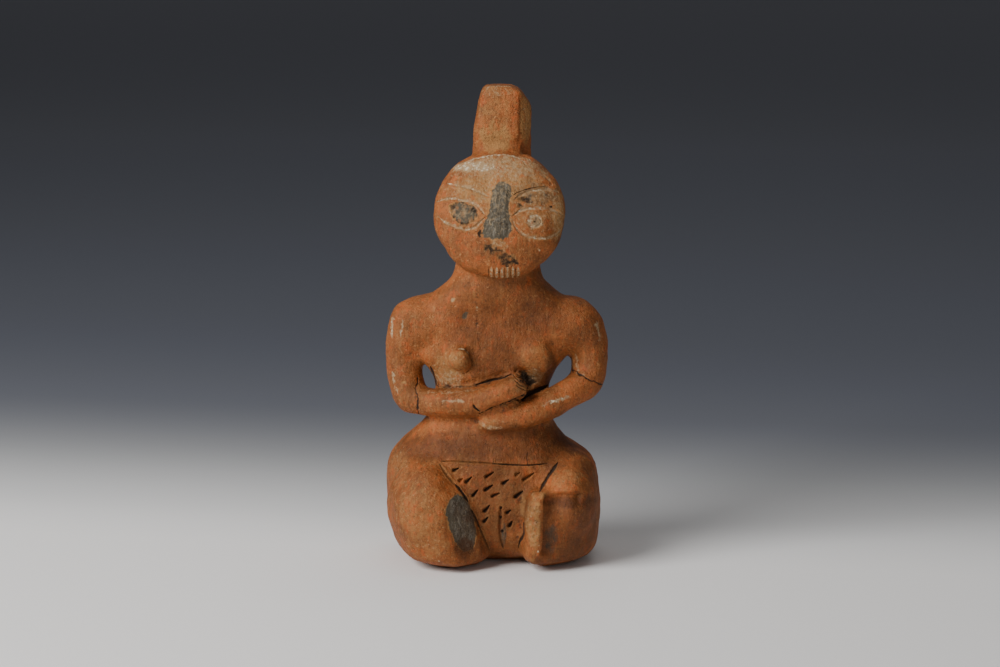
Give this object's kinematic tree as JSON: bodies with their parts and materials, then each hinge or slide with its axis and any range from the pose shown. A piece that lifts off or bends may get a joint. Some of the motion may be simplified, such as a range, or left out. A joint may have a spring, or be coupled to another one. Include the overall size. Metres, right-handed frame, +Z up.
{
  "type": "seated terracotta figure",
  "caption": "Hand-modelled seated clay figurine for display, with an incised disc-shaped face, a tall head stub, folded arms with open elbows, stub legs and a flat underside.",
  "frame": {"origin": "middle of the flat underside, as the bounding box's bottom centre", "axes": "+Z up along the figure's height, -Y towards the side that the face looks to, +X to the right of someone facing it"},
  "size_m": [0.0934, 0.0729, 0.1992],
  "materials": {
    "terracotta": "burnished fired clay, worn and earth-stained"
  },
  "bodies": {
    "root": {"terracotta_figure": "terracotta"}
  },
  "joints": []
}
